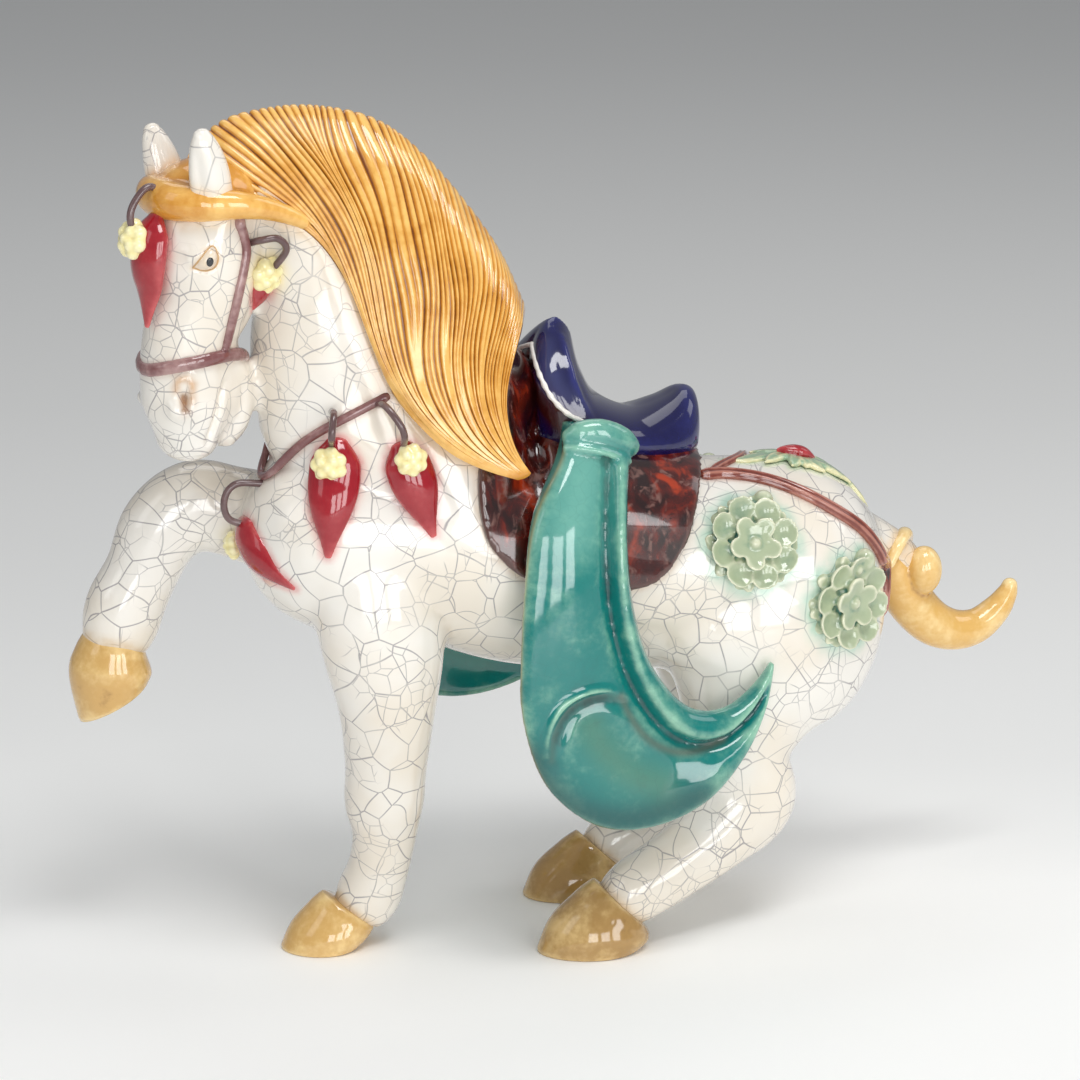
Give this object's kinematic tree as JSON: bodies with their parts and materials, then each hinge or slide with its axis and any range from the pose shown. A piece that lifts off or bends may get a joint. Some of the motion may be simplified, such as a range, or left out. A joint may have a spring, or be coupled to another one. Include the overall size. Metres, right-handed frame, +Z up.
{
  "type": "glazed ceramic horse figurine",
  "caption": "Prancing horse in crackle-glazed ceramic with a raised fore leg, combed mane, arched saddle, hanging saddle cloths, harness drops and a curled tail.",
  "frame": {"origin": "centre of the figure's footprint box at floor height", "axes": "+Z up from the floor the hooves stand on, -X the way the horse faces, -Y the side its mane falls on"},
  "size_m": [0.3203, 0.1165, 0.28],
  "materials": {
    "white_crackle": "gloss, cream glaze with fine grey crackle",
    "amber": "gloss, honey glaze paler on ridges",
    "cobalt": "gloss, dark blue glaze",
    "oxblood": "gloss, mottled red-brown glaze",
    "turquoise": "gloss, pooled blue-green glaze",
    "celadon": "gloss, pale green glaze",
    "red": "gloss, clear red glaze",
    "yellow": "gloss, pale yellow glaze",
    "strap_brown": "gloss, mauve-brown glaze",
    "wire": "dark purple-brown oxidised wire"
  },
  "bodies": {
    "root": {"horse": "white_crackle", "forehead_hoop": "wire", "cheek_hoop_near": "wire", "cheek_hoop_far": "wire", "breast_hoop_front": "wire", "breast_hoop_near_1": "wire", "breast_hoop_near_2": "wire", "breast_hoop_far_1": "wire", "breast_hoop_far_2": "wire"}
  },
  "joints": []
}
